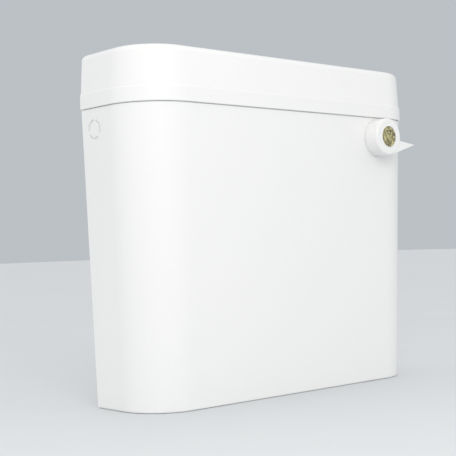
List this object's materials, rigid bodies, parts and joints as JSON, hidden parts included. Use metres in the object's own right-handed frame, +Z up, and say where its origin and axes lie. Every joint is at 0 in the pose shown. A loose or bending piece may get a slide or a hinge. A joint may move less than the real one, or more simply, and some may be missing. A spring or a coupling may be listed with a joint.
{
  "type": "toilet cistern",
  "caption": "Slim wall-hung plastic toilet cistern with a lift-off lid, a front flushing lever, a siphon and a side-inlet float valve.",
  "frame": {"origin": "on the wall plane (the tank's flat back), midway between the two wall-screw holes", "axes": "+Z up, +Y into the wall through the screw holes, +X to the right as seen from the front; the lever faces -Y"},
  "size_m": [0.4705, 0.1307, 0.3851],
  "materials": {
    "shell_plastic": "glossy moulded white plastic",
    "badge": "speckled olive-gold foil disc",
    "siphon_plastic": "satin moulded plastic",
    "valve_plastic": "satin moulded plastic",
    "nut_plastic": "black moulded plastic",
    "tube_plastic": "translucent-white extruded plastic",
    "float_plastic": "black blow-moulded plastic",
    "seat_plastic": "natural nylon",
    "rubber": "black rubber",
    "brass": "drawn brass",
    "steel": "stainless steel"
  },
  "bodies": {
    "root": {"tank": "shell_plastic", "siphon_body": "siphon_plastic", "siphon_washer": "rubber", "siphon_backnut": "nut_plastic", "valve_body": "valve_plastic", "valve_seat": "seat_plastic", "valve_cap": "nut_plastic", "valve_inner_washer": "rubber", "valve_outer_washer": "rubber", "valve_inner_nut": "nut_plastic", "valve_outer_nut": "nut_plastic", "valve_pivot_pin": "steel", "fill_tube": "tube_plastic", "lever_bush": "nut_plastic", "lever_washer": "rubber", "lever_nut": "nut_plastic"},
    "flush_lever": {"lever_handle": "shell_plastic", "handle_badge": "badge", "lever_spindle": "steel", "lift_arm": "valve_plastic", "arm_screw": "steel"},
    "plunger": {"lift_link": "steel", "lift_rod": "steel", "plunger_plate": "siphon_plastic", "plunger_diaphragm": "rubber", "diaphragm_plate": "steel", "plunger_nut": "steel"},
    "float_arm": {"float_lever": "valve_plastic", "float_rod": "brass", "float_locknut": "brass", "float_ball": "float_plastic"},
    "valve_piston": {"valve_piston": "seat_plastic", "piston_washer": "rubber"},
    "lid": {"lid": "shell_plastic"}
  },
  "joints": [
    {"name": "flush_lever_turn", "type": "hinge", "parent": "root", "child": "flush_lever", "pos_m": [0.14, -0.05, 0.02], "axis": [0, 1, 0], "range_deg": [0, 20]},
    {"name": "plunger_lift", "type": "slide", "parent": "root", "child": "plunger", "axis": [0, 0, 1], "range_m": [0, 0.07195]},
    {"name": "float_swing", "type": "hinge", "parent": "root", "child": "float_arm", "pos_m": [0.168, -0.0217, 0.0051], "axis": [0, 1, 0], "range_deg": [0, 30]},
    {"name": "piston_push", "type": "slide", "parent": "root", "child": "valve_piston", "axis": [1, 0, 0], "range_m": [0, 0.00854]},
    {"name": "lid_lift", "type": "slide", "parent": "root", "child": "lid", "axis": [0, 0, 1], "range_m": [0, 0.12]}
  ],
  "couplings": [
    {"joint": "plunger_lift", "follows": "flush_lever_turn", "m_per_rad": 0.20612},
    {"joint": "piston_push", "follows": "float_swing", "m_per_rad": 0.016312}
  ]
}
